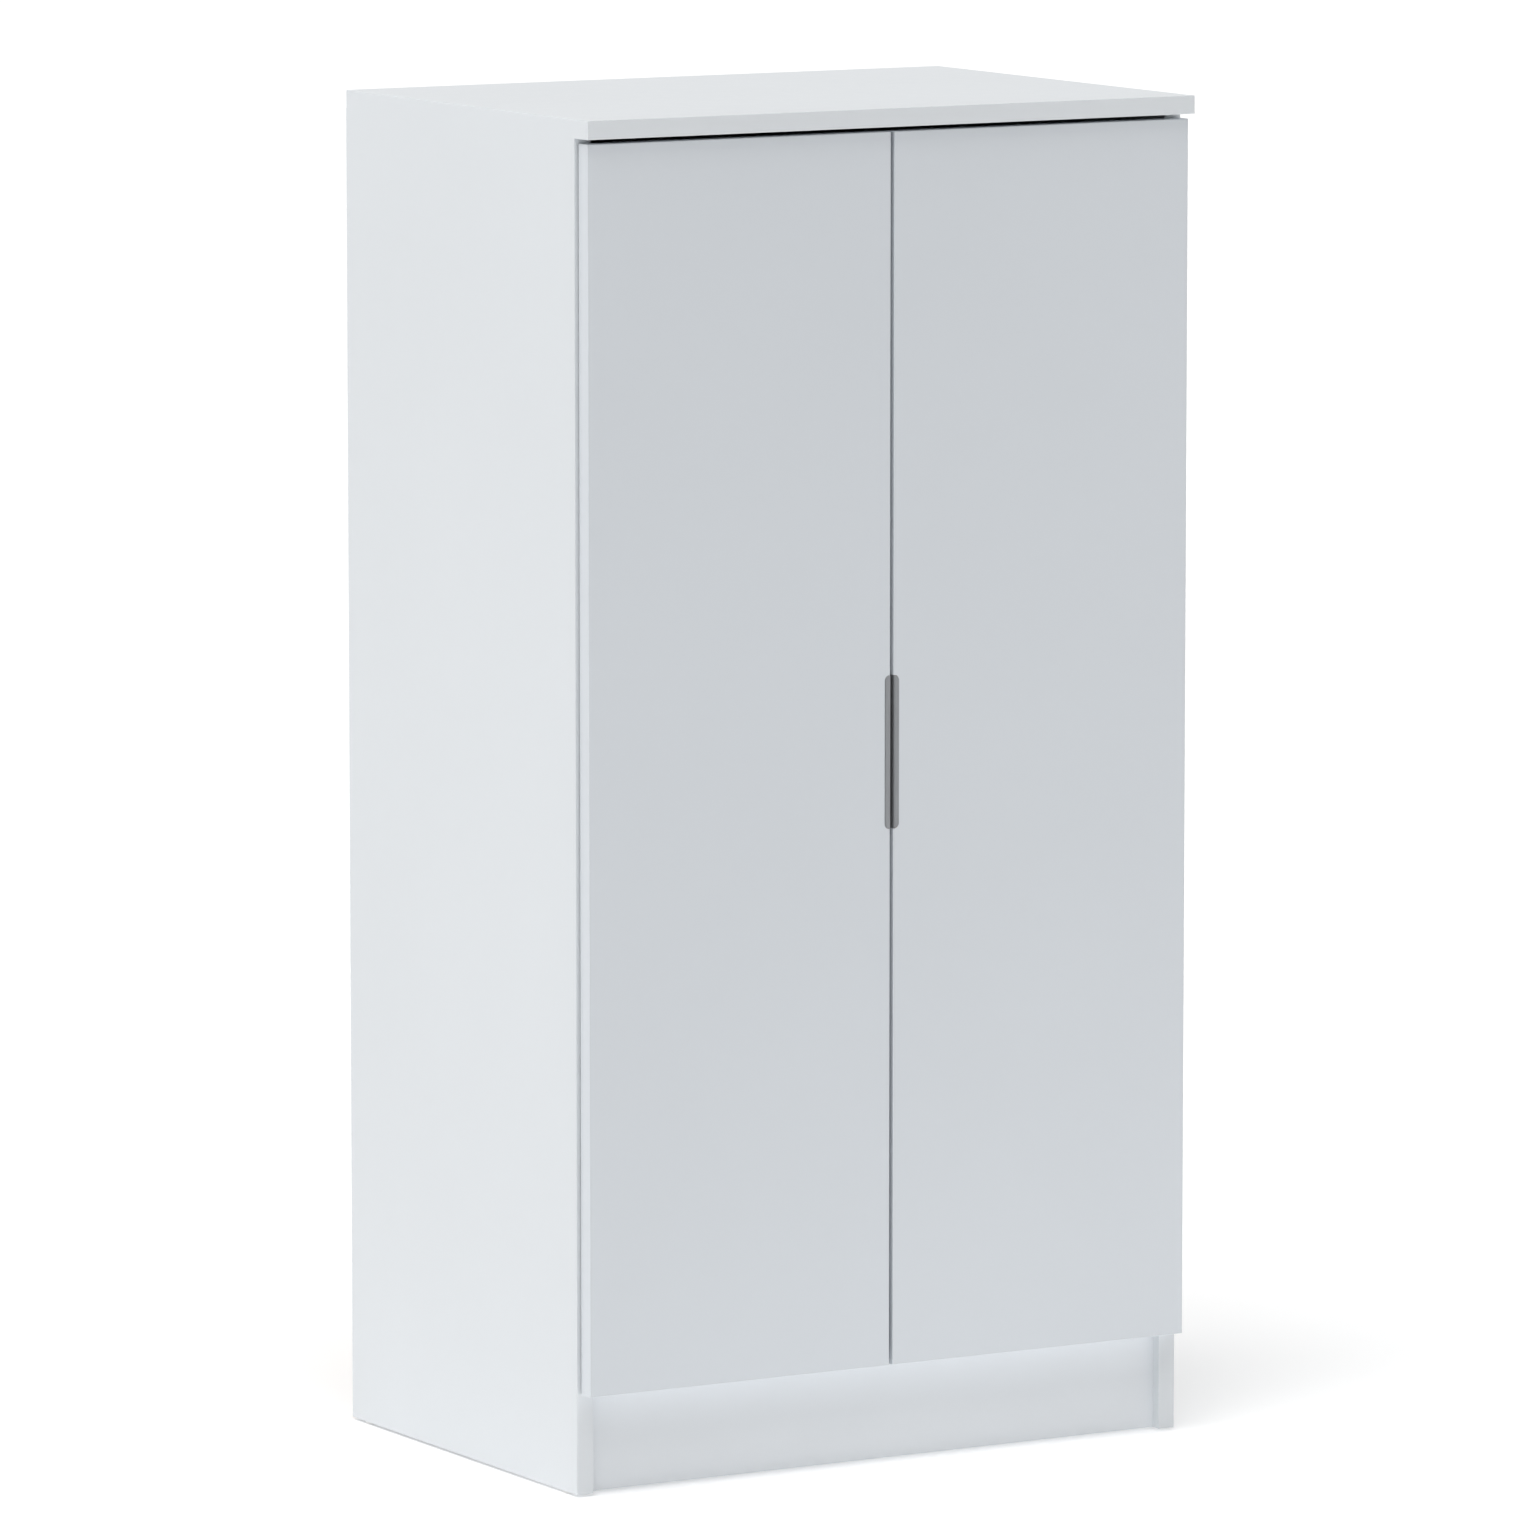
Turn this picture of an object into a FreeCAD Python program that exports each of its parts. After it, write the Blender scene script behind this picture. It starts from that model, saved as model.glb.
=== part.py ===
import FreeCAD, Part
import math
import os

V = FreeCAD.Vector

# ---------------------------------------------------------------------------
# Two-door wardrobe in melamine-faced board.  Millimetres, +Z up, the doors
# face -Y.  The origin lies on the floor, under the middle of the cabinet.
# Left-hand fittings are built once and mirrored in the YZ plane.
# ---------------------------------------------------------------------------

# overall
WIDTH = 680.0
DEPTH = 486.0
HEIGHT = 1330.0
BOARD = 18.0
GLIDE_H = 2.5

# doors
DOOR_T = 18.0
DOOR_NOSE = 6.5           # the top panel's front stands this far before the doors
DOOR_BACK_GAP = 2.0       # doors to the carcass front
DOOR_SIDE_INSET = 3.5     # doors to the outer faces of the sides
DOOR_MIDDLE_GAP = 4.0
DOOR_TOP_GAP = 5.0
DOOR_BOTTOM_Z = 101.0
DOOR_EDGE_R = 0.7

# inside
BOTTOM_Z = 103.0          # underside of the bottom panel
SHELF_Z = 1112.0          # underside of the hat shelf
PLINTH_RECESS = 11.0
BACK_T = 3.0
BACK_Y = 231.0            # front face of the back panels
GROOVE_W = 3.2
GROOVE_DEPTH = 8.0

# handles
HANDLE_L = 150.0
HANDLE_Z = 705.0
HANDLE_FACE_W = 6.0
HANDLE_LET_IN = 3.0       # how deep the front part sits in the door
HANDLE_LIP = 0.2          # its rims stand this far before the door
HANDLE_DISH = 1.2         # the middle of its face lies this far behind the door's front
HANDLE_SHEET = 1.0
HANDLE_LEG = 22.0
HANDLE_CORNER_R = 5.0

# hinges; u runs from a side's inner face into the cabinet, v from the carcass
# front towards the back, so a door lies at negative v
HINGE_Z = (201.0, 704.0, 1207.0)
PIVOT_ARM = (13.9, -8.9)
PIVOT_CUP = (-3.5, -5.6)
CUP_U = 8.0
CUP_BORE_R = 17.5
CUP_DEPTH = 11.5
CUP_WALL = 0.9
CUP_SCREW_U = 17.5
CUP_SCREW_Z = 22.5
PLATE_V = 37.0
PLATE_SCREW_Z = 16.0
PIN_R = 1.2

# connecting fittings
CAM_R = 7.4
CAM_H = 12.3
CAM_BORE_R = 7.5
CAM_BORE_DEPTH = 12.7
CAM_OFFSET = 24.0         # cam centre to the end of its board
CAP_R = 9.0
CAP_T = 1.0
BOLT_HOLE_DEPTH = 11.5
DOWEL_R = 3.95
DOWEL_HOLE_R = 4.05
DOWEL_L = 30.0
DOWEL_IN_FACE = 11.0
CAM_Y = (-165.0, 170.0)
DOWEL_Y = (-120.0, 5.0, 125.0)

# hanging rail
RAIL_W = 15.0
RAIL_H = 30.0
RAIL_WALL = 1.2
RAIL_Y = 7.0
RAIL_Z = 1062.0

# wall fixing
BRACKET_X = 200.0
BRACKET_W = 36.0
BRACKET_SHEET = 2.0
BRACKET_HOLE_R = 2.75
BRACKET_HOLE_Z = 1288.0

# derived
X_OUT = WIDTH / 2
X_IN = X_OUT - BOARD
Y_TOP = -DEPTH / 2
Y_REAR = DEPTH / 2
Y_DOOR = Y_TOP + DOOR_NOSE
Y_DOOR_BACK = Y_DOOR + DOOR_T
Y_FRONT = Y_DOOR_BACK + DOOR_BACK_GAP
Z_TOP = HEIGHT - BOARD
DOOR_TOP_Z = Z_TOP - DOOR_TOP_GAP
DOOR_X0 = -X_OUT + DOOR_SIDE_INSET
DOOR_X1 = -DOOR_MIDDLE_GAP / 2
Z = V(0, 0, 1)


# --------------------------------------------------------------- helpers

def block(x0, x1, y0, y1, z0, z1):
    """A box given by its limits, in any order."""
    lo = V(min(x0, x1), min(y0, y1), min(z0, z1))
    return Part.makeBox(abs(x1 - x0), abs(y1 - y0), abs(z1 - z0), lo)


def rod(r, length, at, along):
    return Part.makeCylinder(r, length, V(*at), V(*along))


def put(shape, at, along):
    """Move a shape built on +Z at the origin to a point, facing `along`."""
    out = shape.copy()
    out.Placement = FreeCAD.Placement(V(*at), FreeCAD.Rotation(Z, V(*along)))
    return out


def fuse(shapes):
    return shapes[0].multiFuse(shapes[1:]).removeSplitter()


def cut(shape, tools):
    return shape.cut(Part.makeCompound(tools))


def mirror(shape):
    return shape.mirror(V(0, 0, 0), V(1, 0, 0))


def both(shapes):
    """The left-hand shapes and their right-hand twins."""
    return shapes + [mirror(s) for s in shapes]


def group(shapes):
    return Part.makeCompound(shapes)


def ease(shape, r, test):
    """Round the edges whose middle point passes the test."""
    edges = [e for e in shape.Edges if test(e.CenterOfMass)]
    return shape.makeFillet(r, edges)


def near(a, b):
    return abs(a - b) < 0.01


def left(u0, u1, v0, v1, z0, z1):
    """A box in the left hinge frame."""
    return block(-X_IN + u0, -X_IN + u1, Y_FRONT + v0, Y_FRONT + v1, z0, z1)


def left_point(u, v, z):
    return (-X_IN + u, Y_FRONT + v, z)


def cross(size, depth, width=0.9):
    """A cross recess that opens at z = 0 and runs down +Z."""
    arms = []
    for a in (0, 90):
        arm = Part.makeBox(2 * size, width, depth + 1, V(-size, -width / 2, -1))
        arm.rotate(V(0, 0, 0), Z, a + 45)
        arms.append(arm)
    return arms[0].fuse(arms[1])


def countersunk_screw(at, along, r, length, head_r):
    """A flat-headed screw whose head lies flush at a point and runs `along`."""
    head_h = head_r - r
    head = Part.makeCone(head_r, r, head_h)
    shank = Part.makeCylinder(r, length - head_h - r, V(0, 0, head_h))
    tip = Part.makeCone(r, 0.3, r, V(0, 0, length - r))
    body = fuse([head, shank, tip])
    return put(body.cut(cross(head_r * 0.5, head_h * 0.7)), at, along)


def screw_hole(at, along, r, length, head_r):
    """Room for countersunk_screw with a little air all round."""
    grow = 0.1
    lead = Part.makeCylinder(head_r + grow, 2.0, V(0, 0, -2.0))
    head = Part.makeCone(head_r + grow, r + grow, head_r - r)
    shank = Part.makeCylinder(r + grow, length + 0.5)
    return put(fuse([lead, head, shank]), at, along)


def pan_screw(at, along, r, length, head_r, head_h):
    """A low round head above the point, with its shank running `along`."""
    head = Part.makeCylinder(head_r, head_h, V(0, 0, -head_h))
    rim = [e for e in head.Edges if near(e.CenterOfMass.z, -head_h) and e.isClosed()]
    head = head.makeFillet(head_h * 0.45, rim)
    shank = Part.makeCylinder(r, length - r)
    tip = Part.makeCone(r, 0.3, r, V(0, 0, length - r))
    slot = cross(head_r * 0.5, head_h * 0.6, 0.7)
    slot.translate(V(0, 0, -head_h))
    return put(fuse([head, shank, tip]).cut(slot), at, along)


def hole(at, along, r, length):
    """A bore that opens at a point, with some lead before it."""
    return put(Part.makeCylinder(r, length + 1.0, V(0, 0, -1.0)), at, along)


def stadium(width, height, length):
    """An upright oval bar along +X, centred on the X axis."""
    r = width / 2
    h = height / 2 - r
    mid = Part.makeBox(length, width, 2 * h, V(0, -r, -h))
    ends = [Part.makeCylinder(r, length, V(0, 0, s * h), V(1, 0, 0)) for s in (1, -1)]
    return fuse([mid] + ends)


# ------------------------------------------------- cams, bolts and dowels

def cam(at, along, bolt_from):
    """A cam lock bored in along one axis, with its bolt coming from another."""
    body = rod(CAM_R, CAM_H, at, along)
    axis = V(*at) + V(*along).multiply(BOARD / 2 - 0.2)
    start = axis - V(*bolt_from).multiply(CAM_R + 1)
    pocket = Part.makeCylinder(4.2, CAM_R + 5, start, V(*bolt_from))
    slot = put(cross(4.2, 1.6, 1.6), at, along)
    return body.cut(pocket.fuse(slot))


def cam_bolt(at, along):
    """A bolt whose thread ends at minus `along` and whose head lies in the cam."""
    thread = Part.makeCylinder(2.45, 11.0, V(0, 0, -11.0))
    shank = Part.makeCylinder(3.0, 20.5)
    neck = Part.makeCylinder(1.8, 3.0, V(0, 0, 20.0))
    head = Part.makeCylinder(3.2, 2.8, V(0, 0, 23.0))
    return put(fuse([thread, shank, neck, head]), at, along)


def dowel(at, along):
    body = Part.makeCylinder(DOWEL_R, DOWEL_L, V(0, 0, -DOWEL_IN_FACE))
    rims = [e for e in body.Edges if e.isClosed()]
    return put(body.makeChamfer(0.8, rims), at, along)


def dowel_hole(at, along):
    depth = DOWEL_L + 1.0
    return put(Part.makeCylinder(DOWEL_HOLE_R, depth, V(0, 0, -DOWEL_IN_FACE - 0.5)), at, along)


def cover_cap(at, along):
    """A thin domed cap that closes a cam's bore, standing off a face along `along`."""
    dome = Part.makeCylinder(CAP_R, CAP_T)
    rim = [e for e in dome.Edges if near(e.CenterOfMass.z, CAP_T) and e.isClosed()]
    return put(dome.makeFillet(CAP_T * 0.7, rim), at, along)


INWARD = (1, 0, 0)
OUTWARD = (-1, 0, 0)
UP = (0, 0, 1)
DOWN = (0, 0, -1)

cams = []
caps = []
bolts = []
dowels = []
cuts_side = []            # tools for the left side panel
cuts_level = {BOTTOM_Z: [], SHELF_Z: []}
cuts_top = []             # left half of the top panel's tools

for level in (BOTTOM_Z, SHELF_Z):
    mid = level + BOARD / 2
    for y in CAM_Y:
        cx = -X_IN + CAM_OFFSET
        cams.append(cam((cx, y, level + 0.2), UP, INWARD))
        caps.append(cover_cap((cx, y, level), DOWN))
        bolts.append(cam_bolt((-X_IN, y, mid), INWARD))
        cuts_side.append(rod(2.55, BOLT_HOLE_DEPTH, (-X_IN - BOLT_HOLE_DEPTH, y, mid), INWARD))
        cuts_level[level].append(rod(CAM_BORE_R, CAM_BORE_DEPTH, (cx, y, level), UP))
        cuts_level[level].append(rod(3.5, CAM_OFFSET, (-X_IN, y, mid), INWARD))
    for y in DOWEL_Y:
        dowels.append(dowel((-X_IN, y, mid), INWARD))
        tool = dowel_hole((-X_IN, y, mid), INWARD)
        cuts_side.append(tool)
        cuts_level[level].append(tool)

x_mid_side = -X_OUT + BOARD / 2
for y in CAM_Y:
    cz = Z_TOP - CAM_OFFSET
    cams.append(cam((-X_IN - 0.2, y, cz), OUTWARD, DOWN))
    caps.append(cover_cap((-X_IN, y, cz), INWARD))
    bolts.append(cam_bolt((x_mid_side, y, Z_TOP), DOWN))
    cuts_top.append(rod(2.55, BOLT_HOLE_DEPTH, (x_mid_side, y, Z_TOP), UP))
    cuts_side.append(rod(CAM_BORE_R, CAM_BORE_DEPTH, (-X_IN, y, cz), OUTWARD))
    cuts_side.append(rod(3.5, CAM_OFFSET, (x_mid_side, y, Z_TOP), DOWN))
for y in DOWEL_Y:
    dowels.append(dowel((x_mid_side, y, Z_TOP), DOWN))
    tool = dowel_hole((x_mid_side, y, Z_TOP), DOWN)
    cuts_side.append(tool)
    cuts_top.append(tool)

# plinth rails: two dowels at each end and one up into the bottom panel
Y_PLINTH = Y_FRONT + PLINTH_RECESS
Y_RAIL = 198.0
cuts_plinth = {Y_PLINTH: [], Y_RAIL: []}
for y0 in (Y_PLINTH, Y_RAIL):
    y = y0 + BOARD / 2
    for z in (32.0, 76.0):
        dowels.append(dowel((-X_IN, y, z), INWARD))
        tool = dowel_hole((-X_IN, y, z), INWARD)
        cuts_side.append(tool)
        cuts_plinth[y0].append(tool)
    dowels.append(dowel((-170.0, y, BOTTOM_Z), DOWN))
    tool = dowel_hole((-170.0, y, BOTTOM_Z), DOWN)
    cuts_level[BOTTOM_Z].append(tool)
    cuts_plinth[y0].append(tool)


# ----------------------------------------------------------- left hinges

def hinge_plate(z):
    """A winged mounting plate with the saddle the arm is hooked on."""
    wing = left(0, 2.0, PLATE_V - 9, PLATE_V + 9, z - 26, z + 26)
    corners = [e for e in wing.Edges if abs(e.Vertexes[0].X - e.Vertexes[1].X) > 1]
    wing = wing.makeFillet(8.0, corners)
    saddle = left(1.5, 13.9, PLATE_V - 9, PLATE_V + 23, z - 7.8, z + 7.8)
    saddle = ease(saddle, 1.5, lambda c: near(c.x, -X_IN + 13.9) or near(c.x, -X_IN + 7.7))
    holes = []
    for s in (1, -1):
        at = left_point(2.0, PLATE_V, z + s * PLATE_SCREW_Z)
        holes.append(screw_hole(at, OUTWARD, 2.45, 13.0, 4.0))
    holes.append(hole(left_point(13.9, PLATE_V + 12, z), OUTWARD, 2.1, 12.5))
    return cut(wing.fuse(saddle).removeSplitter(), holes)


def hinge_arm(z):
    """A channel over the saddle whose cheeks reach forward to the pivot."""
    pu, pv = PIVOT_ARM
    parts = [left(14.3, 16.0, 4.0, PLATE_V + 26, z - 9.5, z + 9.5)]
    for s in (1, -1):
        lo, hi = (z + 8.0, z + 9.5) if s > 0 else (z - 9.5, z - 8.0)
        parts.append(left(6.0, 16.0, 4.0, PLATE_V + 26, lo, hi))
        parts.append(left(pu - 2.8, pu + 2.8, pv, 6.0, lo, hi))
        parts.append(rod(2.8, 1.5, left_point(pu, pv, lo), UP))
    holes = [hole(left_point(16.5, PLATE_V + 12, z), OUTWARD, 2.1, 4.0)]
    holes.append(rod(PIN_R + 0.05, 24.0, left_point(pu, pv, z - 12), UP))
    return cut(fuse(parts), holes)


def hinge_link(z):
    """The link between the arm's pin and the cup's pin."""
    pu, pv = PIVOT_ARM
    qu, qv = PIVOT_CUP
    span = math.hypot(qu - pu, qv - pv)
    turn = math.degrees(math.atan2(qv - pv, qu - pu))
    bar = Part.makeBox(span, 2.4, 10.0, V(0, -1.2, -5.0))
    bar.rotate(V(0, 0, 0), Z, turn)
    bar.translate(V(*left_point(pu, pv, z)))
    barrels = [rod(2.4, 10.0, left_point(pu, pv, z - 5), UP), rod(2.2, 10.0, left_point(qu, qv, z - 5), UP)]
    bores = [rod(PIN_R + 0.05, 12.0, left_point(a, b, z - 6), UP) for a, b in (PIVOT_ARM, PIVOT_CUP)]
    return cut(fuse([bar] + barrels), bores)


def hinge_cup(z):
    """A round cup let into the door, with a flange that takes two screws."""
    back = -DOOR_BACK_GAP
    out = (0, -1, 0)
    shell = rod(CUP_BORE_R - 0.1, CUP_DEPTH, left_point(CUP_U, back, z), out)
    flange = left(4.0, 24.0, back, back + 1.0, z - 28, z + 28)
    corners = [e for e in flange.Edges if abs(e.Vertexes[0].Y - e.Vertexes[1].Y) > 0.5]
    flange = flange.makeFillet(6.0, corners)
    inner_r = CUP_BORE_R - 0.1 - CUP_WALL
    hollow = rod(inner_r, CUP_DEPTH - CUP_WALL + 5, left_point(CUP_U, back + 5, z), out)
    tools = [hollow]
    tools.append(rod(PIN_R + 0.05, 24.0, left_point(*PIVOT_CUP, z - 12.0), UP))
    for s in (1, -1):
        at = left_point(CUP_SCREW_U, back + 1.0, z + s * CUP_SCREW_Z)
        tools.append(hole(at, out, 1.85, 3.0))
    return cut(shell.fuse(flange), tools)


plates = [hinge_plate(z) for z in HINGE_Z]
arms = [hinge_arm(z) for z in HINGE_Z]
links = [hinge_link(z) for z in HINGE_Z]
cups = [hinge_cup(z) for z in HINGE_Z]
arm_pins = [rod(PIN_R, 19.6, left_point(*PIVOT_ARM, z - 9.8), UP) for z in HINGE_Z]
cup_pins = [rod(PIN_R, 23.8, left_point(*PIVOT_CUP, z - 11.9), UP) for z in HINGE_Z]
plate_screws = []
arm_screws = []
cup_screws = []
cuts_door = []
for z in HINGE_Z:
    arm_screws.append(pan_screw(left_point(16.0, PLATE_V + 12, z), OUTWARD, 2.0, 13.0, 3.6, 1.8))
    cuts_door.append(hole(left_point(CUP_U, -DOOR_BACK_GAP, z), (0, -1, 0), CUP_BORE_R, CUP_DEPTH + 0.2))
    for s in (1, -1):
        at = left_point(2.0, PLATE_V, z + s * PLATE_SCREW_Z)
        plate_screws.append(countersunk_screw(at, OUTWARD, 2.45, 13.0, 4.0))
        cuts_side.append(hole(left_point(0, PLATE_V, z + s * PLATE_SCREW_Z), OUTWARD, 2.55, 11.5))
        at = left_point(CUP_SCREW_U, -DOOR_BACK_GAP + 1.0, z + s * CUP_SCREW_Z)
        cup_screws.append(pan_screw(at, (0, -1, 0), 1.75, 12.0, 3.2, 0.8))
        cuts_door.append(hole(at, (0, -1, 0), 1.85, 12.5))


# ----------------------------------------------------- doors and handles

def handle_room(grow):
    """The room a handle takes in the front and the edge of a door, and a little more."""
    x0 = DOOR_X1 - HANDLE_FACE_W - grow
    z0 = HANDLE_Z - HANDLE_L / 2 - grow
    z1 = HANDLE_Z + HANDLE_L / 2 + grow
    face = block(x0, DOOR_X1 + 5, Y_DOOR - 5, Y_DOOR + HANDLE_LET_IN + grow, z0, z1)
    face = ease(face, HANDLE_CORNER_R + grow, lambda c: near(c.x, x0) and (near(c.z, z0) or near(c.z, z1)))
    edge = block(DOOR_X1 - HANDLE_SHEET - grow, DOOR_X1 + 5, Y_DOOR, Y_DOOR_BACK + 5, z0, z1)
    return face.fuse(edge)


def handle():
    """A profile round the door's inner edge, with a dished front face let into the door."""
    x_face = DOOR_X1 - HANDLE_FACE_W
    x_leg = DOOR_X1 - HANDLE_LEG
    y_rim = Y_DOOR - HANDLE_LIP
    y_seat = Y_DOOR + HANDLE_LET_IN
    y_leg = Y_DOOR_BACK + HANDLE_SHEET
    z0 = HANDLE_Z - HANDLE_L / 2
    z1 = HANDLE_Z + HANDLE_L / 2
    start = V(x_face, y_rim, z0)
    end = V(DOOR_X1, y_rim, z0)
    dish = Part.Arc(start, V((x_face + DOOR_X1) / 2, Y_DOOR + HANDLE_DISH, z0), end)
    corners = [end, V(DOOR_X1, y_seat, z0), V(x_face, y_seat, z0), start]
    edges = [dish.toShape()] + [Part.makeLine(a, b) for a, b in zip(corners, corners[1:])]
    front = Part.Face(Part.Wire(edges)).extrude(V(0, 0, HANDLE_L))
    front = front.common(handle_room(0))
    edge_plate = block(DOOR_X1 - HANDLE_SHEET, DOOR_X1, y_seat - 0.5, y_leg, z0, z1)
    leg = block(x_leg, DOOR_X1, Y_DOOR_BACK, y_leg, z0, z1)
    leg = ease(leg, HANDLE_CORNER_R, lambda c: near(c.x, x_leg) and (near(c.z, z0) or near(c.z, z1)))
    return cut(fuse([front, edge_plate, leg]), handle_screw_holes())


def handle_screw_holes():
    holes = []
    for s in (1, -1):
        at = (DOOR_X1 - 14.0, Y_DOOR_BACK + HANDLE_SHEET, HANDLE_Z + s * 50.0)
        holes.append(screw_hole(at, (0, -1, 0), 1.6, 13.0, 2.6))
    return holes


door = block(DOOR_X0, DOOR_X1, Y_DOOR, Y_DOOR_BACK, DOOR_BOTTOM_Z, DOOR_TOP_Z)
door = ease(door, DOOR_EDGE_R, lambda c: near(c.y, Y_DOOR))
door = ease(door, 0.5, lambda c: near(c.y, Y_DOOR_BACK))

handle_screws = []
for s in (1, -1):
    at = (DOOR_X1 - 14.0, Y_DOOR_BACK + HANDLE_SHEET, HANDLE_Z + s * 50.0)
    handle_screws.append(countersunk_screw(at, (0, -1, 0), 1.6, 13.0, 2.6))
door = cut(door, cuts_door + handle_screw_holes() + [handle_room(0.1)])

buffers = []
for z in (BOTTOM_Z + BOARD / 2, SHELF_Z + BOARD / 2):
    pad = Part.makeCylinder(4.0, 1.6)
    rim = [e for e in pad.Edges if near(e.CenterOfMass.z, 1.6) and e.isClosed()]
    buffers.append(put(pad.makeFillet(0.8, rim), (DOOR_X1 - 30.0, Y_DOOR_BACK, z), (0, 1, 0)))


# ---------------------------------------------------------- back and wall

BACK_Z0 = 105.0
BACK_Z1 = Z_TOP + GROOVE_DEPTH - 0.5
back = block(-X_IN - GROOVE_DEPTH + 0.5, -1.5, BACK_Y, BACK_Y + BACK_T, BACK_Z0, BACK_Z1)
groove_y0 = BACK_Y - (GROOVE_W - BACK_T) / 2

nails = []
nail_holes = []
for z in (BOTTOM_Z + BOARD / 2, SHELF_Z + BOARD / 2):
    for x in (-300.0, -185.0, -65.0):
        pin = Part.makeCylinder(0.9, 20.0)
        head = Part.makeCylinder(2.2, 0.6, V(0, 0, -0.6))
        nails.append(put(pin.fuse(head).removeSplitter(), (x, BACK_Y + BACK_T, z), (0, -1, 0)))
        nail_holes.append(hole((x, BACK_Y + BACK_T, z), (0, -1, 0), 1.0, 20.5))

strip_z1 = Z_TOP - 0.5
strip = fuse([
    block(-9, 9, BACK_Y - 1.2, BACK_Y - 0.2, BACK_Z0, strip_z1),
    block(-1, 1, BACK_Y - 1.0, BACK_Y + BACK_T + 1.0, BACK_Z0, strip_z1),
    block(-9, 9, BACK_Y + BACK_T + 0.2, BACK_Y + BACK_T + 1.2, BACK_Z0, strip_z1),
])
strip_notch = block(-9.6, 9.6, BACK_Y - 1.5, BACK_Y + 1.0, 0, HEIGHT)

bracket_y1 = BACK_Y - 0.2
bx0 = -BRACKET_X - BRACKET_W / 2
bx1 = -BRACKET_X + BRACKET_W / 2
bracket = block(bx0, bx1, bracket_y1 - 40, bracket_y1, Z_TOP - BRACKET_SHEET, Z_TOP)
bracket = bracket.fuse(block(bx0, bx1, bracket_y1 - BRACKET_SHEET, bracket_y1, Z_TOP - 40, Z_TOP))
bracket = bracket.removeSplitter()
inner = [e for e in bracket.Edges if near(e.CenterOfMass.y, bracket_y1 - BRACKET_SHEET)]
inner = [e for e in inner if near(e.CenterOfMass.z, Z_TOP - BRACKET_SHEET)]
bracket = bracket.makeFillet(2.0, inner)
wall_hole = rod(BRACKET_HOLE_R, 20.0, (-BRACKET_X, BACK_Y - 10, BRACKET_HOLE_Z), (0, 1, 0))
bracket_cuts = [wall_hole]
bracket_screws = []
for dx in (-10.0, 10.0):
    at = (-BRACKET_X + dx, bracket_y1 - 24, Z_TOP - BRACKET_SHEET)
    bracket_screws.append(countersunk_screw(at, UP, 1.9, 15.0, 3.6))
    bracket_cuts.append(screw_hole(at, UP, 1.9, 15.0, 3.6))
    cuts_top.append(screw_hole(at, UP, 1.9, 15.0, 3.6))
bracket = cut(bracket, bracket_cuts)
back = cut(back, nail_holes + [wall_hole])


# ----------------------------------------------------------- hanging rail

rail_half = X_IN - 2.4
rail = stadium(RAIL_W, RAIL_H, 2 * rail_half)
rail = rail.cut(stadium(RAIL_W - 2 * RAIL_WALL, RAIL_H - 2 * RAIL_WALL, 2 * rail_half))
rail.translate(V(-rail_half, RAIL_Y, RAIL_Z))

socket = fuse([stadium(26.0, 78.0, 2.0), stadium(RAIL_W + 4.4, RAIL_H + 4.4, 13.0)])
mouth = stadium(RAIL_W + 0.4, RAIL_H + 0.4, 20.0)
mouth.translate(V(2.0, 0, 0))
socket = socket.cut(mouth)
socket.translate(V(-X_IN, RAIL_Y, RAIL_Z))
socket_cuts = []
socket_screws = []
for s in (1, -1):
    at = (-X_IN + 2.0, RAIL_Y, RAIL_Z + s * 29.0)
    socket_screws.append(countersunk_screw(at, OUTWARD, 1.9, 15.0, 3.6))
    socket_cuts.append(screw_hole(at, OUTWARD, 1.9, 15.0, 3.6))
socket = cut(socket, socket_cuts)
cuts_side += socket_cuts


# ----------------------------------------------------------------- glides

glides = []
for y in (Y_FRONT + 28, Y_REAR - 28):
    pad = Part.makeCylinder(8.0, GLIDE_H)
    rim = [e for e in pad.Edges if near(e.CenterOfMass.z, 0) and e.isClosed()]
    pad = pad.makeFillet(1.2, rim)
    pin = Part.makeCylinder(1.2, 17.0, V(0, 0, 0.5))
    glide = pad.fuse(pin).removeSplitter()
    glide.translate(V(x_mid_side, y, 0))
    glides.append(glide)
    cuts_side.append(rod(1.3, 17.5, (x_mid_side, y, 0.5), UP))


# ----------------------------------------------------------------- boards

side = block(-X_OUT, -X_IN, Y_FRONT, Y_REAR, GLIDE_H, Z_TOP)
side = ease(side, 0.5, lambda c: near(c.y, Y_FRONT) or near(c.z, GLIDE_H))
cuts_side.append(block(-X_IN - GROOVE_DEPTH, -X_IN + 1, groove_y0, groove_y0 + GROOVE_W, 0, HEIGHT))
side = cut(side, cuts_side)

top = block(-X_OUT, X_OUT, Y_TOP, Y_REAR, Z_TOP, HEIGHT)
top = ease(top, 0.8, lambda c: not near(c.z, Z_TOP) or near(c.y, Y_TOP))
groove_x = X_IN + GROOVE_DEPTH
top_groove = block(-groove_x, groove_x, groove_y0, groove_y0 + GROOVE_W, Z_TOP - 1, Z_TOP + GROOVE_DEPTH)
top = cut(top, both(cuts_top) + [top_groove])


def level_panel(z):
    panel = block(-X_IN, X_IN, Y_FRONT, BACK_Y, z, z + BOARD)
    panel = ease(panel, 0.5, lambda c: near(c.y, Y_FRONT) and near(c.x, 0))
    tools = both(cuts_level[z] + [n for n in nail_holes if abs(n.CenterOfMass.z - z) < BOARD])
    return cut(panel, tools + [strip_notch])


def plinth(y0):
    panel = block(-X_IN, X_IN, y0, y0 + BOARD, GLIDE_H, BOTTOM_Z)
    panel = ease(panel, 0.5, lambda c: near(c.z, GLIDE_H) and near(c.x, 0))
    return cut(panel, both(cuts_plinth[y0]))


# ------------------------------------------------------------------ parts

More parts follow.
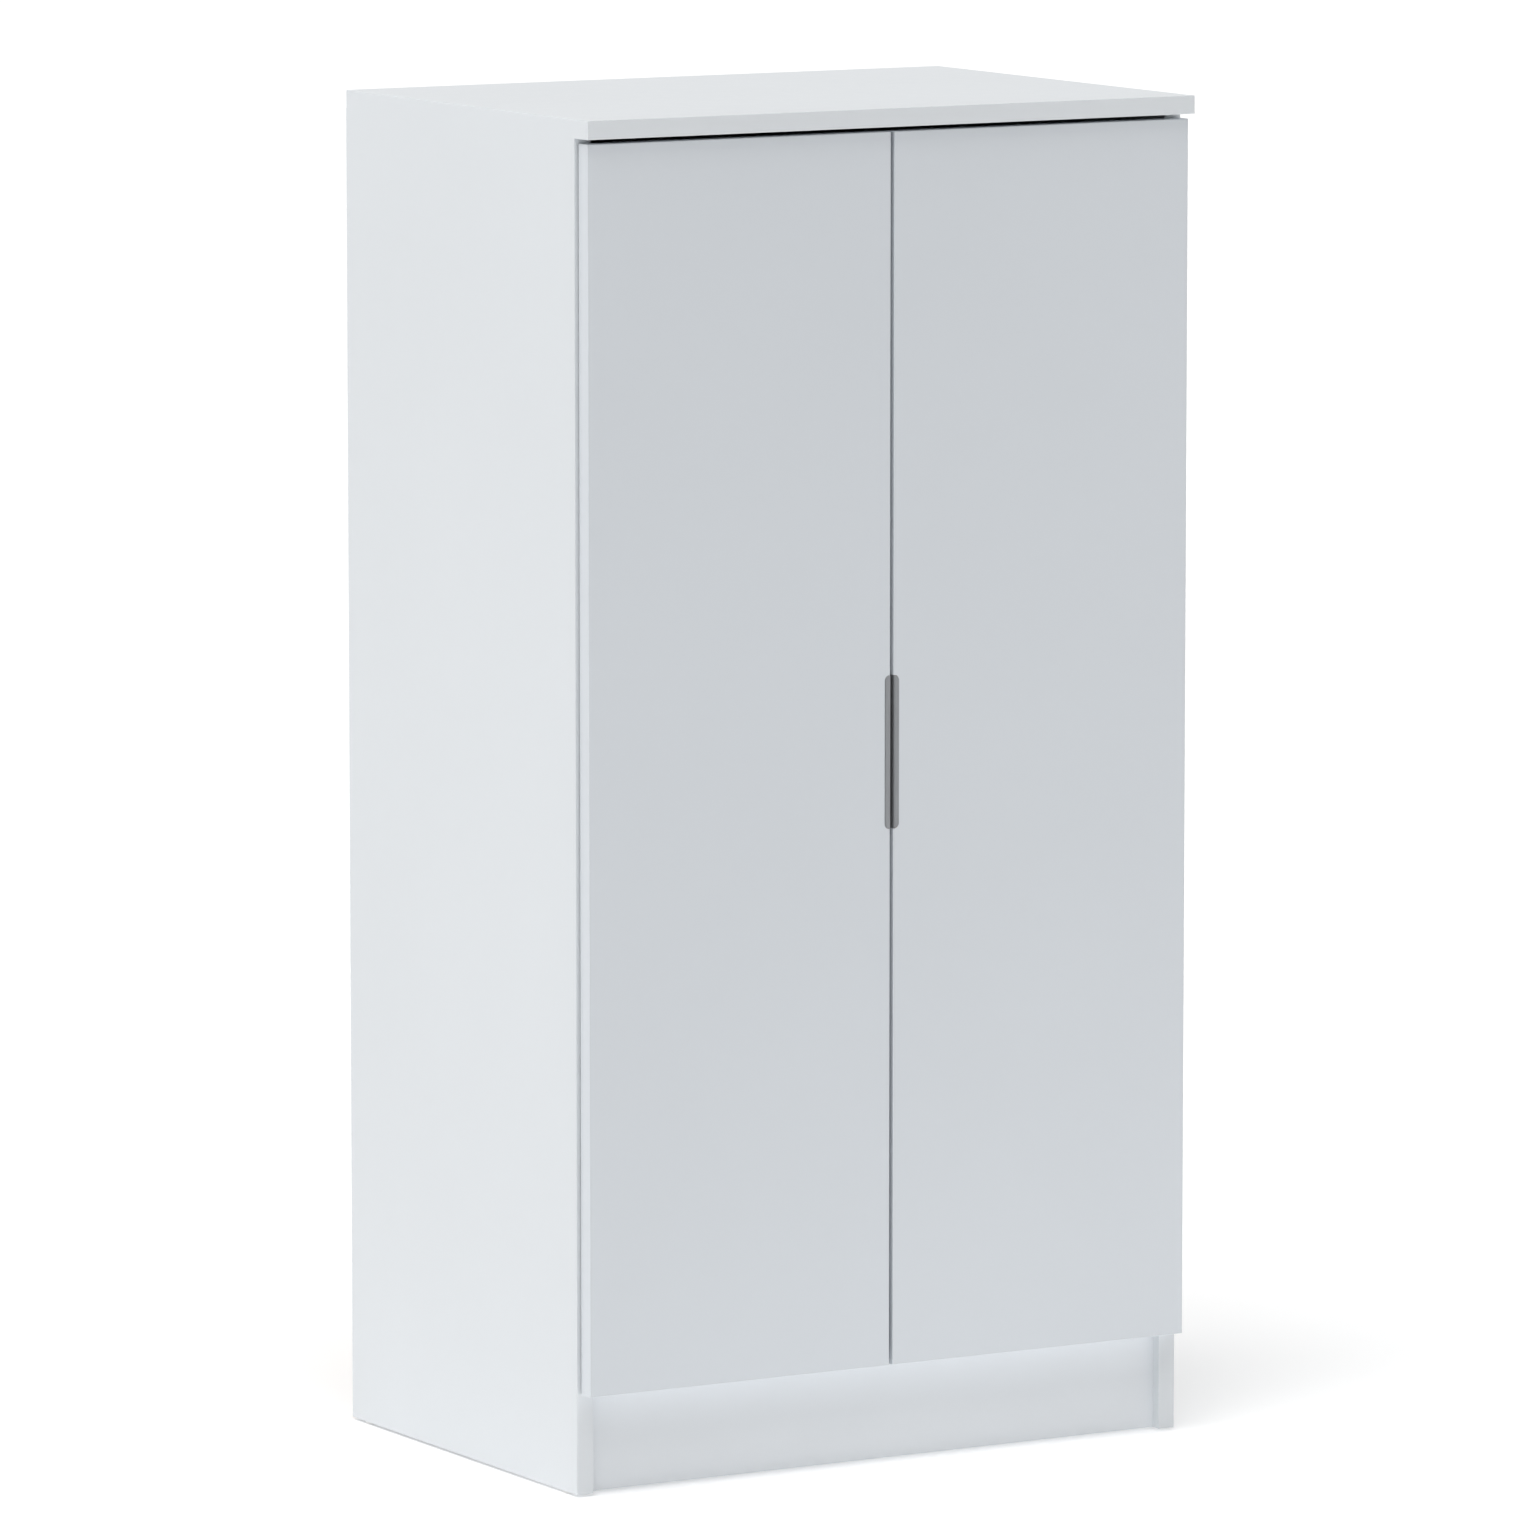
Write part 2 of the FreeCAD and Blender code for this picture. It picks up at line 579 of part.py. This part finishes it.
PARTS = {
    "left_side_panel": side,
    "right_side_panel": mirror(side),
    "top_panel": top,
    "bottom_panel": level_panel(BOTTOM_Z),
    "hat_shelf": level_panel(SHELF_Z),
    "plinth_front": plinth(Y_PLINTH),
    "plinth_rear": plinth(Y_RAIL),
    "back_panel_left": back,
    "back_panel_right": mirror(back),
    "back_joining_strip": strip,
    "hanging_rail": rail,
    "rail_socket_left": socket,
    "rail_socket_right": mirror(socket),
    "rail_socket_screws": group(both(socket_screws)),
    "cam_locks": group(both(cams)),
    "cam_bolts": group(both(bolts)),
    "cam_cover_caps": group(both(caps)),
    "wooden_dowels": group(both(dowels)),
    "floor_glides": group(both(glides)),
    "back_panel_nails": group(both(nails)),
    "wall_brackets": group(both([bracket])),
    "wall_bracket_screws": group(both(bracket_screws)),
}

LEFT = {
    "hinge_plates": group(plates),
    "plate_screws": group(plate_screws),
    "hinge_arms": group(arms),
    "arm_screws": group(arm_screws),
    "arm_pins": group(arm_pins),
    "hinge_links": group(links),
    "hinge_cups": group(cups),
    "cup_screws": group(cup_screws),
    "cup_pins": group(cup_pins),
    "door_panel": door,
    "door_handle": handle(),
    "handle_screws": group(handle_screws),
    "door_buffers": group(buffers),
}
for name, shape in LEFT.items():
    PARTS["left_" + name] = shape
    PARTS["right_" + name] = mirror(shape)

os.makedirs("parts", exist_ok=True)
for name, shape in PARTS.items():
    shape.exportStep("parts/%s.step" % name)
    print(name, len(shape.Solids), "solid(s)", "valid" if shape.isValid() else "NOT VALID")
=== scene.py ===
import math

import bmesh
import bpy
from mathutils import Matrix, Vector


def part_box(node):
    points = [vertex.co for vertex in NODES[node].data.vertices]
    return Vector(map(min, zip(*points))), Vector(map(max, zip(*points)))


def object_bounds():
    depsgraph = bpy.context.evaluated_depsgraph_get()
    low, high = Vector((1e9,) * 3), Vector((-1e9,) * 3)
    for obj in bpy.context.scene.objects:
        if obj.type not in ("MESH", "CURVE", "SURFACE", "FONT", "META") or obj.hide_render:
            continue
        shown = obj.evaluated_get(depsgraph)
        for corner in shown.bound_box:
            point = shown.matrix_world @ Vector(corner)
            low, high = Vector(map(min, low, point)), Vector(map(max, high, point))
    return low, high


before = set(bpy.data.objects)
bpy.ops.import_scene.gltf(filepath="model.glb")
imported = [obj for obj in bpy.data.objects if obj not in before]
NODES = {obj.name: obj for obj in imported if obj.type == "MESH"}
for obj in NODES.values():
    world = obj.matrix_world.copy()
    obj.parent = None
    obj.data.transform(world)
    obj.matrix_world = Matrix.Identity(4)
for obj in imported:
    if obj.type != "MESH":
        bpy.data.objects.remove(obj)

CAD_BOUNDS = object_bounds()
LOW = Vector(CAD_BOUNDS[0])
RIGHT, BACK, UP = 0, 1, 2          # the axes of the row frame

# camera: a long lens, turned towards the cabinet's left front corner
LENS = 256.0
SENSOR = 36.0
YAW = math.radians(30.24)
PITCH = math.radians(7.62)
DISTANCE = 10.54
CLIP_END = 200.0
AIM = Vector((-0.1405, LOW.y, 0.6976))

# studio: how brightly the floor glows, the room on each side and behind, and a soft sun
FLOOR_HALF = 60.0
FLOOR_GLOW = 0.20
POOL_GLOW = 0.30                   # extra glow of the floor before the doors
POOL_CENTRE = (0.10, -0.70, 0.0)   # after the stretch by POOL_SHAPE
POOL_SHAPE = (0.7, 1.0, 1.0)       # below 1, the pool reaches further along that axis
POOL_RADIUS = 0.85
WORLD_LEFT = 0.38
WORLD_RIGHT = 0.03
WORLD_BACK = 0.80                  # extra brightness straight behind
SUN_STRENGTH = 2.05
SUN_LEFT = math.radians(12.5)      # from straight above towards the left
SUN_FRONT = math.radians(11.0)     # and towards the front
SUN_WIDTH = math.radians(45.0)

# colours, linear; the plinth's white is lighter than the other boards' and the doors' white darker:
# painted light on the plinth and painted shade on the doors, to make up for light that this studio
# lacks
WHITE = (0.77, 0.80, 0.825)
PLINTH_PAINTED_LIGHT_WHITE = (0.85, 0.88, 0.91)
DOOR_PAINTED_SHADE_WHITE = (0.725, 0.76, 0.797)
CHIP_LIGHT = (0.60, 0.43, 0.26)
CHIP_DARK = (0.30, 0.19, 0.10)
HARDBOARD_LIGHT = (0.287, 0.156, 0.078)
HARDBOARD_DARK = (0.179, 0.098, 0.048)
BEECH_LIGHT = (0.62, 0.42, 0.25)
BEECH_DARK = (0.465, 0.315, 0.188)
BAND_JOINT = (0.42, 0.41, 0.39)
FIBRE_FLECK = (0.40, 0.26, 0.15)
HANDLE_GREY = (0.335, 0.345, 0.36)

# boards: roughness of the skins, and sizes in metres
BOARD_ROUGHNESS = 0.40
TOP_ROUGHNESS = 0.38
PLINTH_ROUGHNESS = 0.42
DOOR_ROUGHNESS = 0.34
BAND = 0.0011                      # from a board's edge to the joint of its band
BAND_LINE = 0.00022                # width of that joint
SKIN_DEPTH = 0.0005                # cut board shows from this deep
SKIN_BLEND = 0.0002
SKIN_RELIEF = 0.00004
CHIP_RELIEF = 0.0004


# ------------------------------------------------------- shader building

class Graph:
    """A Principled material and short calls that add nodes to it.

    Places are metres in the row frame and follow the object when it moves.
    """

    def __init__(self, name):
        self.material = bpy.data.materials.new(name)
        self.material.use_nodes = True
        self.tree = self.material.node_tree
        self.bsdf = self.tree.nodes["Principled BSDF"]
        coord = self.tree.nodes.new("ShaderNodeTexCoord")
        self.place = coord.outputs["Object"]
        self.normal = coord.outputs["Normal"]

    def feed(self, socket, value):
        if isinstance(value, bpy.types.NodeSocket):
            self.tree.links.new(value, socket)
        elif isinstance(value, tuple) and len(value) == 3 and socket.type == "RGBA":
            socket.default_value = (*value, 1.0)
        else:
            socket.default_value = value

    def node(self, kind, inputs, **settings):
        made = self.tree.nodes.new(kind)
        for key, value in settings.items():
            setattr(made, key, value)
        for key, value in inputs.items():
            self.feed(made.inputs[key], value)
        return made

    def set(self, **sockets):
        for key, value in sockets.items():
            self.feed(self.bsdf.inputs[key.replace("_", " ")], value)

    def math(self, operation, a, b=0.0):
        return self.node("ShaderNodeMath", {0: a, 1: b}, operation=operation).outputs[0]

    def split(self, vector):
        return self.node("ShaderNodeSeparateXYZ", {0: vector}).outputs

    def stretch(self, x, y, z):
        inputs = {0: self.place, 1: (x, y, z)}
        return self.node("ShaderNodeVectorMath", inputs, operation="MULTIPLY").outputs[0]

    def scaled(self, colour, factor):
        inputs = {0: colour, "Scale": factor}
        return self.node("ShaderNodeVectorMath", inputs, operation="SCALE").outputs[0]

    def weighted(self, a, share_a, b, share_b):
        part_a = self.math("MULTIPLY", a, share_a)
        return self.math("ADD", part_a, self.math("MULTIPLY", b, share_b))

    def noise(self, scale, detail=2.0, roughness=0.5, vector=None, distortion=0.0):
        inputs = {"Vector": vector or self.place, "Scale": scale, "Detail": detail}
        inputs.update({"Roughness": roughness, "Distortion": distortion})
        return self.node("ShaderNodeTexNoise", inputs).outputs[0]

    def cells(self, scale, vector):
        inputs = {"Vector": vector, "Scale": scale}
        return self.node("ShaderNodeTexVoronoi", inputs).outputs["Color"]

    def between(self, value, low, high, start=0.0, end=1.0):
        """Value's climb from low to high, as start to end, and flat outside."""
        inputs = {"Value": value, "From Min": low, "From Max": high, "To Min": start, "To Max": end}
        return self.node("ShaderNodeMapRange", inputs).outputs[0]

    def mix(self, share, a, b):
        return self.node("ShaderNodeMix", {0: share, 6: a, 7: b}, data_type="RGBA").outputs[2]

    def bump(self, height, distance, strength=1.0, below=None):
        inputs = {"Height": height, "Distance": distance, "Strength": strength}
        if below is not None:
            inputs["Normal"] = below
        return self.node("ShaderNodeBump", inputs).outputs[0]

    def line(self, value, at, width):
        """1 on a line of the given width, 0 away from it."""
        off = self.math("ABSOLUTE", self.math("SUBTRACT", value, at))
        return self.between(off, width * 0.35, width * 0.65, 1.0, 0.0)

    def facing(self, axis, sign):
        """1 where the surface looks along an axis, in the object's own frame."""
        along = self.split(self.normal)[axis]
        return self.between(self.math("MULTIPLY", along, float(sign)), 0.80, 0.95)


def tinted(graph, colour, amount, scale):
    """A colour whose brightness drifts a little over the surface."""
    drift = graph.between(graph.noise(scale, 3.0), 0.3, 0.7, 1.0 - amount, 1.0 + amount)
    return graph.scaled(colour, drift)


def depth_inside(graph, node):
    """How far a point lies inside its board's box: 0 on the skin, more in a bore."""
    low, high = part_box(node)
    nearest = None
    for place, a, b in zip(graph.split(graph.place), low, high):
        off = graph.math("ABSOLUTE", graph.math("SUBTRACT", place, (a + b) / 2))
        inside = graph.math("SUBTRACT", (b - a) / 2, off)
        nearest = inside if nearest is None else graph.math("MINIMUM", nearest, inside)
    return nearest


def chipboard(graph):
    """The colour and relief of raw particle board."""
    cells = graph.cells(620.0, graph.stretch(1.0, 1.0, 1.6))
    chips = graph.node("ShaderNodeSeparateColor", {0: cells}).outputs[0]
    dust = graph.noise(1900.0, 3.0)
    tone = graph.weighted(chips, 0.7, dust, 0.3)
    return graph.mix(tone, CHIP_DARK, CHIP_LIGHT), tone


def board_material(node, colour, roughness, raw_faces=(), lines=()):
    """Faced particle board: satin skin, hairlines at the edge bands, chips where it is cut.

    raw_faces holds (axis, sign) of edges with no band, and lines holds
    (axis, place) of the joints between a band and the skin.
    """
    graph = Graph("board_" + node)
    skin = tinted(graph, colour, 0.010, 2.3)
    pearl = graph.noise(820.0, 2.0, 0.45)
    grain = graph.noise(2600.0, 2.0)
    for axis, place in lines:
        mark = graph.line(graph.split(graph.place)[axis], place, BAND_LINE)
        skin = graph.mix(graph.math("MULTIPLY", mark, 0.30), skin, BAND_JOINT)
    raw = graph.between(depth_inside(graph, node), SKIN_DEPTH, SKIN_DEPTH + SKIN_BLEND)
    for axis, sign in raw_faces:
        raw = graph.math("MAXIMUM", raw, graph.facing(axis, sign))
    chip_colour, chip_height = chipboard(graph)
    graph.set(Base_Color=graph.mix(raw, skin, chip_colour))
    patches = graph.noise(55.0, 4.0, 0.6)
    smooth = graph.between(patches, 0.3, 0.7, roughness - 0.03, roughness + 0.04)
    rough = graph.math("ADD", smooth, graph.math("MULTIPLY", raw, 0.4))
    graph.set(Roughness=rough, Specular_IOR_Level=0.45)
    relief = graph.weighted(pearl, 0.75, grain, 0.25)
    skin_bump = graph.bump(relief, SKIN_RELIEF, 0.8)
    chip_bump = graph.bump(graph.math("MULTIPLY", chip_height, raw), CHIP_RELIEF, 0.8, skin_bump)
    graph.set(Normal=chip_bump)
    return graph.material


def hardboard_material(node):
    """Thin fibreboard: lacquered white towards the inside, bare brown at the back."""
    graph = Graph("hardboard_" + node)
    white = tinted(graph, WHITE, 0.012, 3.0)
    fibre = graph.noise(260.0, 6.0, 0.75, distortion=1.5)
    fleck = graph.between(graph.noise(1500.0, 2.0), 0.60, 0.72)
    brown = graph.mix(graph.between(fibre, 0.25, 0.75), HARDBOARD_DARK, HARDBOARD_LIGHT)
    brown = graph.mix(graph.math("MULTIPLY", fleck, 0.25), brown, FIBRE_FLECK)
    inner = graph.facing(BACK, -1)
    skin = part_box(node)[0].y
    depth = graph.split(graph.place)[BACK]
    front = graph.between(depth, skin + 0.0002, skin + 0.0004, 1.0, 0.0)
    lacquer = graph.math("MULTIPLY", inner, front)
    graph.set(Base_Color=graph.mix(lacquer, brown, white))
    graph.set(Roughness=graph.between(lacquer, 0.0, 1.0, 0.82, 0.40), Specular_IOR_Level=0.4)
    graph.set(Normal=graph.bump(fibre, 0.00012, 0.6))
    return graph.material


def brushed_metal(name, colour, roughness, direction, metallic=1.0):
    """Metal with fine scratches along one direction."""
    graph = Graph(name)
    scale = [2400.0, 2400.0, 2400.0]
    scale[direction] = 30.0
    scratch = graph.noise(1.0, 3.0, 0.65, graph.stretch(*scale))
    cloud = graph.noise(60.0, 2.0)
    shade = graph.between(scratch, 0.3, 0.7, 0.90, 1.08)
    toned = graph.scaled(colour, shade)
    base = graph.between(scratch, 0.3, 0.7, roughness - 0.06, roughness + 0.08)
    wear = graph.between(cloud, 0.35, 0.7, -0.02, 0.03)
    graph.set(Base_Color=toned, Metallic=metallic, Roughness=graph.math("ADD", base, wear))
    graph.set(Normal=graph.bump(scratch, 0.00002, 0.5))
    return graph.material


def plated_metal(name, colour, roughness, grain):
    """Plated or cast metal with a soft unevenness."""
    graph = Graph(name)
    cloud = graph.noise(90.0, 4.0, 0.6)
    fine = graph.noise(grain, 2.0)
    graph.set(Base_Color=tinted(graph, colour, 0.05, 140.0), Metallic=1.0)
    graph.set(Roughness=graph.between(cloud, 0.3, 0.7, roughness * 0.8, roughness * 1.25))
    graph.set(Normal=graph.bump(fine, 0.00003, 0.5))
    return graph.material


def chrome_material():
    graph = Graph("chrome_tube")
    smear = graph.noise(14.0, 5.0, 0.6, graph.stretch(0.4, 1.0, 1.0))
    graph.set(Base_Color=(0.80, 0.81, 0.83), Metallic=1.0)
    graph.set(Roughness=graph.between(smear, 0.35, 0.75, 0.05, 0.15))
    graph.set(Normal=graph.bump(graph.noise(35.0, 1.0), 0.00005, 0.25))
    return graph.material


def plastic_material(name, colour, roughness, clear=0.0):
    graph = Graph(name)
    grain = graph.noise(1400.0, 2.0)
    graph.set(Base_Color=tinted(graph, colour, 0.02, 80.0))
    graph.set(Roughness=graph.between(grain, 0.3, 0.7, roughness - 0.05, roughness + 0.05))
    graph.set(Transmission_Weight=clear, IOR=1.47, Normal=graph.bump(grain, 0.00003, 0.4))
    return graph.material


def beech_material():
    """Turned beech with rays and pressed flutes."""
    graph = Graph("beech_dowels")
    rays = graph.noise(1.0, 4.0, 0.6, graph.stretch(220.0, 1800.0, 1800.0))
    graph.set(Base_Color=graph.mix(graph.between(rays, 0.3, 0.7), BEECH_DARK, BEECH_LIGHT))
    graph.set(Roughness=graph.between(rays, 0.3, 0.7, 0.55, 0.70), Normal=graph.bump(rays, 0.0001, 0.5))
    return graph.material


def dress(node, material):
    """Give a CAD node one material all over."""
    mesh = NODES[node].data
    mesh.materials.clear()
    mesh.materials.append(material)


# ---------------------------------------------------------------- boards


def edge_lines(node, axis_ends):
    """The hairlines of the edge bands at the named ends of a board."""
    low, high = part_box(node)
    marks = []
    for axis, sign in axis_ends:
        marks.append((axis, high[axis] - BAND if sign > 0 else low[axis] + BAND))
    return marks


for name in ("left_side_panel", "right_side_panel"):
    marks = edge_lines(name, [(BACK, -1)])
    dress(name, board_material(name, WHITE, BOARD_ROUGHNESS, [(BACK, 1), (UP, 1)], marks))
marks = edge_lines("top_panel", [(BACK, -1), (RIGHT, -1), (RIGHT, 1)])
dress("top_panel", board_material("top_panel", WHITE, TOP_ROUGHNESS, [(BACK, 1)], marks))
for name in ("bottom_panel", "hat_shelf"):
    marks = edge_lines(name, [(BACK, -1)])
    cut = [(BACK, 1), (RIGHT, 1), (RIGHT, -1)]
    dress(name, board_material(name, WHITE, BOARD_ROUGHNESS, cut, marks))
# the plinths get a lighter white than the other boards: painted light
for name in ("plinth_front", "plinth_rear"):
    marks = edge_lines(name, [(UP, -1)])
    cut = [(RIGHT, 1), (RIGHT, -1), (UP, 1)]
    dress(name, board_material(name, PLINTH_PAINTED_LIGHT_WHITE, PLINTH_ROUGHNESS, cut, marks))
# the doors get a darker white than the other boards: painted shade
for side in ("left", "right"):
    name = side + "_door_panel"
    marks = edge_lines(name, [(RIGHT, -1), (RIGHT, 1), (UP, -1), (UP, 1)])
    dress(name, board_material(name, DOOR_PAINTED_SHADE_WHITE, DOOR_ROUGHNESS, (), marks))
for name in ("back_panel_left", "back_panel_right"):
    dress(name, hardboard_material(name))


# -------------------------------------------------------------- fittings

handle_metal = brushed_metal("brushed_handle", HANDLE_GREY, 0.42, UP, 0.45)
nickel = plated_metal("nickel_fittings", (0.62, 0.60, 0.57), 0.24, 900.0)
link_metal = plated_metal("link_steel", (0.55, 0.54, 0.52), 0.30, 900.0)
zinc_cast = plated_metal("zinc_castings", (0.58, 0.59, 0.61), 0.38, 1500.0)
zinc_screw = plated_metal("zinc_screws", (0.66, 0.66, 0.64), 0.28, 2200.0)
white_plastic = plastic_material("white_plastic", (0.80, 0.80, 0.79), 0.38)
clear_rubber = plastic_material("clear_buffer", (0.80, 0.82, 0.83), 0.25, 0.6)

dress("hanging_rail", chrome_material())
dress("wooden_dowels", beech_material())
for name in ("back_joining_strip", "floor_glides", "cam_cover_caps"):
    dress(name, white_plastic)
for name in ("rail_socket_left", "rail_socket_right", "wall_brackets"):
    dress(name, nickel)
for name in ("cam_locks", "cam_bolts"):
    dress(name, zinc_cast)
for name in ("rail_socket_screws", "back_panel_nails", "wall_bracket_screws"):
    dress(name, zinc_screw)
for side in ("left_", "right_"):
    for name in ("hinge_plates", "hinge_arms", "hinge_cups"):
        dress(side + name, nickel)
    dress(side + "hinge_links", link_metal)
    for name in ("plate_screws", "arm_screws", "arm_pins",
                 "cup_screws", "cup_pins", "handle_screws"):
        dress(side + name, zinc_screw)
    dress(side + "door_handle", handle_metal)
    dress(side + "door_buffers", clear_rubber)


# ------------------------------------------------------------ the studio

def make_floor():
    """A wide, pale, plain floor that glows a little, more so before the doors."""
    graph = Graph("studio_floor")
    cloud = graph.between(graph.noise(0.6, 2.0), 0.3, 0.7, 0.90, 0.92)
    tone = graph.node("ShaderNodeCombineColor", {0: cloud, 1: cloud, 2: cloud}).outputs[0]
    graph.set(Base_Color=tone, Roughness=0.9, Specular_IOR_Level=0.1)
    near = {0: graph.stretch(*POOL_SHAPE), 1: POOL_CENTRE}
    away = graph.node("ShaderNodeVectorMath", near, operation="DISTANCE")
    inputs = {"Value": away.outputs["Value"], "From Max": POOL_RADIUS}
    inputs.update({"To Min": FLOOR_GLOW + POOL_GLOW, "To Max": FLOOR_GLOW})
    pool = graph.node("ShaderNodeMapRange", inputs, interpolation_type="SMOOTHSTEP")
    graph.set(Emission_Color=(1.0, 1.0, 1.0), Emission_Strength=pool.outputs[0])
    mesh = bpy.data.meshes.new("studio_floor")
    shape = bmesh.new()
    bmesh.ops.create_grid(shape, x_segments=8, y_segments=8, size=FLOOR_HALF)
    shape.to_mesh(mesh)
    shape.free()
    mesh.materials.append(graph.material)
    floor = bpy.data.objects.new("studio_floor", mesh)
    bpy.context.scene.collection.objects.link(floor)


def make_sun():
    """A wide, soft sun that stands for a large ceiling light."""
    light = bpy.data.lights.new("ceiling_light", "SUN")
    light.energy = SUN_STRENGTH
    light.angle = SUN_WIDTH
    lamp = bpy.data.objects.new("ceiling_light", light)
    lamp.rotation_euler = (SUN_FRONT, -SUN_LEFT, 0.0)
    bpy.context.scene.collection.objects.link(lamp)


def make_world():
    """A white room, brighter on the left than on the right, and behind the cabinet."""
    world = bpy.data.worlds.new("studio")
    world.use_nodes = True
    tree = world.node_tree
    coord = tree.nodes.new("ShaderNodeTexCoord")
    split = tree.nodes.new("ShaderNodeSeparateXYZ")
    background = tree.nodes["Background"]
    background.inputs["Color"].default_value = (1.0, 1.0, 1.0, 1.0)
    across = tree.nodes.new("ShaderNodeMapRange")
    across.inputs["From Min"].default_value = -1.0
    across.inputs["To Min"].default_value = WORLD_LEFT
    across.inputs["To Max"].default_value = WORLD_RIGHT
    behind = tree.nodes.new("ShaderNodeMapRange")
    behind.inputs["To Max"].default_value = WORLD_BACK
    total = tree.nodes.new("ShaderNodeMath")
    tree.links.new(coord.outputs["Generated"], split.inputs[0])
    tree.links.new(split.outputs["X"], across.inputs["Value"])
    tree.links.new(split.outputs["Y"], behind.inputs["Value"])
    tree.links.new(across.outputs[0], total.inputs[0])
    tree.links.new(behind.outputs[0], total.inputs[1])
    tree.links.new(total.outputs[0], background.inputs["Strength"])
    bpy.context.scene.world = world


def make_camera():
    data = bpy.data.cameras.new("camera")
    data.lens = LENS
    data.sensor_width = SENSOR
    data.clip_end = CLIP_END
    camera = bpy.data.objects.new("camera", data)
    level = math.cos(PITCH)
    ahead = Vector((math.sin(YAW) * level, math.cos(YAW) * level, -math.sin(PITCH)))
    camera.location = AIM - ahead * DISTANCE
    camera.rotation_euler = ahead.to_track_quat("-Z", "Y").to_euler()
    bpy.context.scene.collection.objects.link(camera)
    bpy.context.scene.camera = camera


make_floor()
make_world()
make_sun()
make_camera()
bpy.context.scene.view_settings.view_transform = "Standard"
